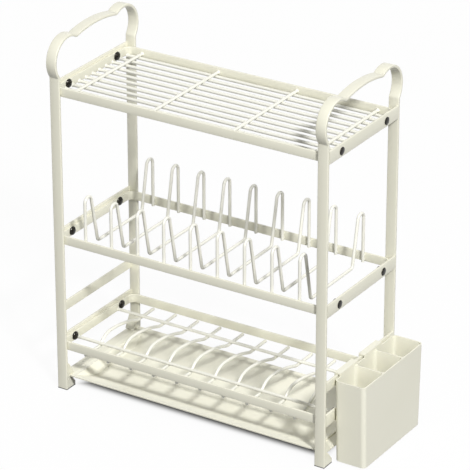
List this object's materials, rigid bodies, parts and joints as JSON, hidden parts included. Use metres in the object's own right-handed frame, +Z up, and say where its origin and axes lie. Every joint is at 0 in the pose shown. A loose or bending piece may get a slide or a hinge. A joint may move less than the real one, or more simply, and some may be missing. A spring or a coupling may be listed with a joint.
{
  "type": "three-tier dish rack",
  "caption": "Standing dish rack of bent flat bar and wire: grid shelf on top, plate wires, cup wires, a pull-out drip tray and a hooked cutlery holder.",
  "frame": {"origin": "centre of the whole rack's bounding box, on the surface that it stands on", "axes": "+X along the shelves towards the cutlery holder, +Y from the front to the back, +Z up"},
  "size_m": [0.4688, 0.1934, 0.5085],
  "materials": {
    "cream_coat": "satin",
    "dark_steel": "polished",
    "grey_rubber": "matte",
    "cream_plastic": "gloss"
  },
  "bodies": {
    "rack": {"left_side_strip": "cream_coat", "left_brace": "cream_coat", "left_top_crossbar": "cream_coat", "left_middle_crossbar": "cream_coat", "left_lower_crossbar": "cream_coat", "left_front_shoe": "cream_coat", "left_back_shoe": "cream_coat", "left_tray_runner": "cream_coat", "right_side_strip": "cream_coat", "right_brace": "cream_coat", "right_top_crossbar": "cream_coat", "right_middle_crossbar": "cream_coat", "right_lower_crossbar": "cream_coat", "right_front_shoe": "cream_coat", "right_back_shoe": "cream_coat", "right_tray_runner": "cream_coat", "top_shelf_frame": "cream_coat", "middle_shelf_frame": "cream_coat", "lower_shelf_frame": "cream_coat", "top_long_wire_1": "cream_coat", "top_long_wire_2": "cream_coat", "top_long_wire_3": "cream_coat", "top_long_wire_4": "cream_coat", "top_long_wire_5": "cream_coat", "top_long_wire_6": "cream_coat", "top_long_wire_7": "cream_coat", "top_long_wire_8": "cream_coat", "top_long_wire_9": "cream_coat", "top_long_wire_10": "cream_coat", "top_long_wire_11": "cream_coat", "top_cross_wire_1": "cream_coat", "top_cross_wire_2": "cream_coat", "top_cross_wire_3": "cream_coat", "top_cross_wire_4": "cream_coat", "plate_wire_1": "cream_coat", "plate_wire_2": "cream_coat", "plate_wire_3": "cream_coat", "plate_wire_4": "cream_coat", "plate_wire_5": "cream_coat", "plate_wire_6": "cream_coat", "plate_wire_7": "cream_coat", "plate_wire_8": "cream_coat", "plate_wire_9": "cream_coat", "lower_long_wire_1": "cream_coat", "lower_long_wire_2": "cream_coat", "cup_wire_1": "cream_coat", "cup_wire_2": "cream_coat", "cup_wire_3": "cream_coat", "cup_wire_4": "cream_coat", "cup_wire_5": "cream_coat", "cup_wire_6": "cream_coat", "cup_wire_7": "cream_coat", "cup_wire_8": "cream_coat", "cup_wire_9": "cream_coat", "cup_wire_10": "cream_coat", "shelf_bolts": "dark_steel", "shelf_nuts": "dark_steel", "foot_soles": "grey_rubber"},
    "tray": {"drip_tray": "cream_plastic"},
    "holder": {"cutlery_holder": "cream_plastic"}
  },
  "joints": [
    {"name": "tray_slide", "type": "slide", "parent": "rack", "child": "tray", "axis": [0, -1, 0], "range_m": [0, 0.2]},
    {"name": "holder_lift", "type": "slide", "parent": "rack", "child": "holder", "axis": [0, 0, 1], "range_m": [0, 0.08]}
  ]
}
